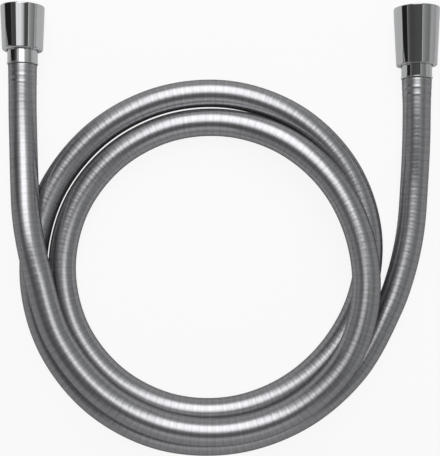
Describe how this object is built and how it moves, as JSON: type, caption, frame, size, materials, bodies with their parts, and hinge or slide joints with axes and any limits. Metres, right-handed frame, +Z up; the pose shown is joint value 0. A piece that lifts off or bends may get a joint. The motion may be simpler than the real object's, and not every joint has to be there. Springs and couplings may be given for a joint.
{
  "type": "shower hose",
  "caption": "Smooth silver PVC shower hose with two chromed cone nuts, one of them on an anti-twist swivel, lying in loose turns.",
  "frame": {"origin": "on the floor, midway between the two end fittings", "axes": "+X from the short end fitting to the long one, +Y the way both nuts' mouths point, +Z up"},
  "size_m": [0.2384, 0.2446, 0.0309],
  "materials": {
    "chrome": "polished chrome plate",
    "silver_pvc": "smooth silver PVC with a fine cross-wise ripple",
    "black_rubber": "moulded rubber",
    "turned_brass": "turned brass",
    "white_acetal": "turned acetal",
    "spring_steel": "spring steel strip"
  },
  "bodies": {
    "hose_body": {"hose": "silver_pvc", "short_nipple": "turned_brass", "short_ferrule": "chrome", "long_nipple": "turned_brass", "long_ferrule": "chrome", "snap_ring": "spring_steel", "swivel_o_ring": "black_rubber"},
    "short_nut": {"short_cone_nut": "chrome", "short_washer": "black_rubber"},
    "swivel": {"swivel_sleeve": "white_acetal"},
    "long_nut": {"long_cone_nut": "chrome", "long_washer": "black_rubber"}
  },
  "joints": [
    {"name": "short_nut_turn", "type": "hinge", "parent": "hose_body", "child": "short_nut", "pos_m": [-0.1073, 0.0244, 0.0119], "axis": [0, 1, 0], "continuous": true},
    {"name": "swivel_turn", "type": "hinge", "parent": "hose_body", "child": "swivel", "pos_m": [0.1068, 0.0232, 0.0124], "axis": [0, 1, 0], "continuous": true},
    {"name": "long_nut_turn", "type": "hinge", "parent": "swivel", "child": "long_nut", "pos_m": [0.1068, 0.0232, 0.0124], "axis": [0, 1, 0], "continuous": true}
  ]
}
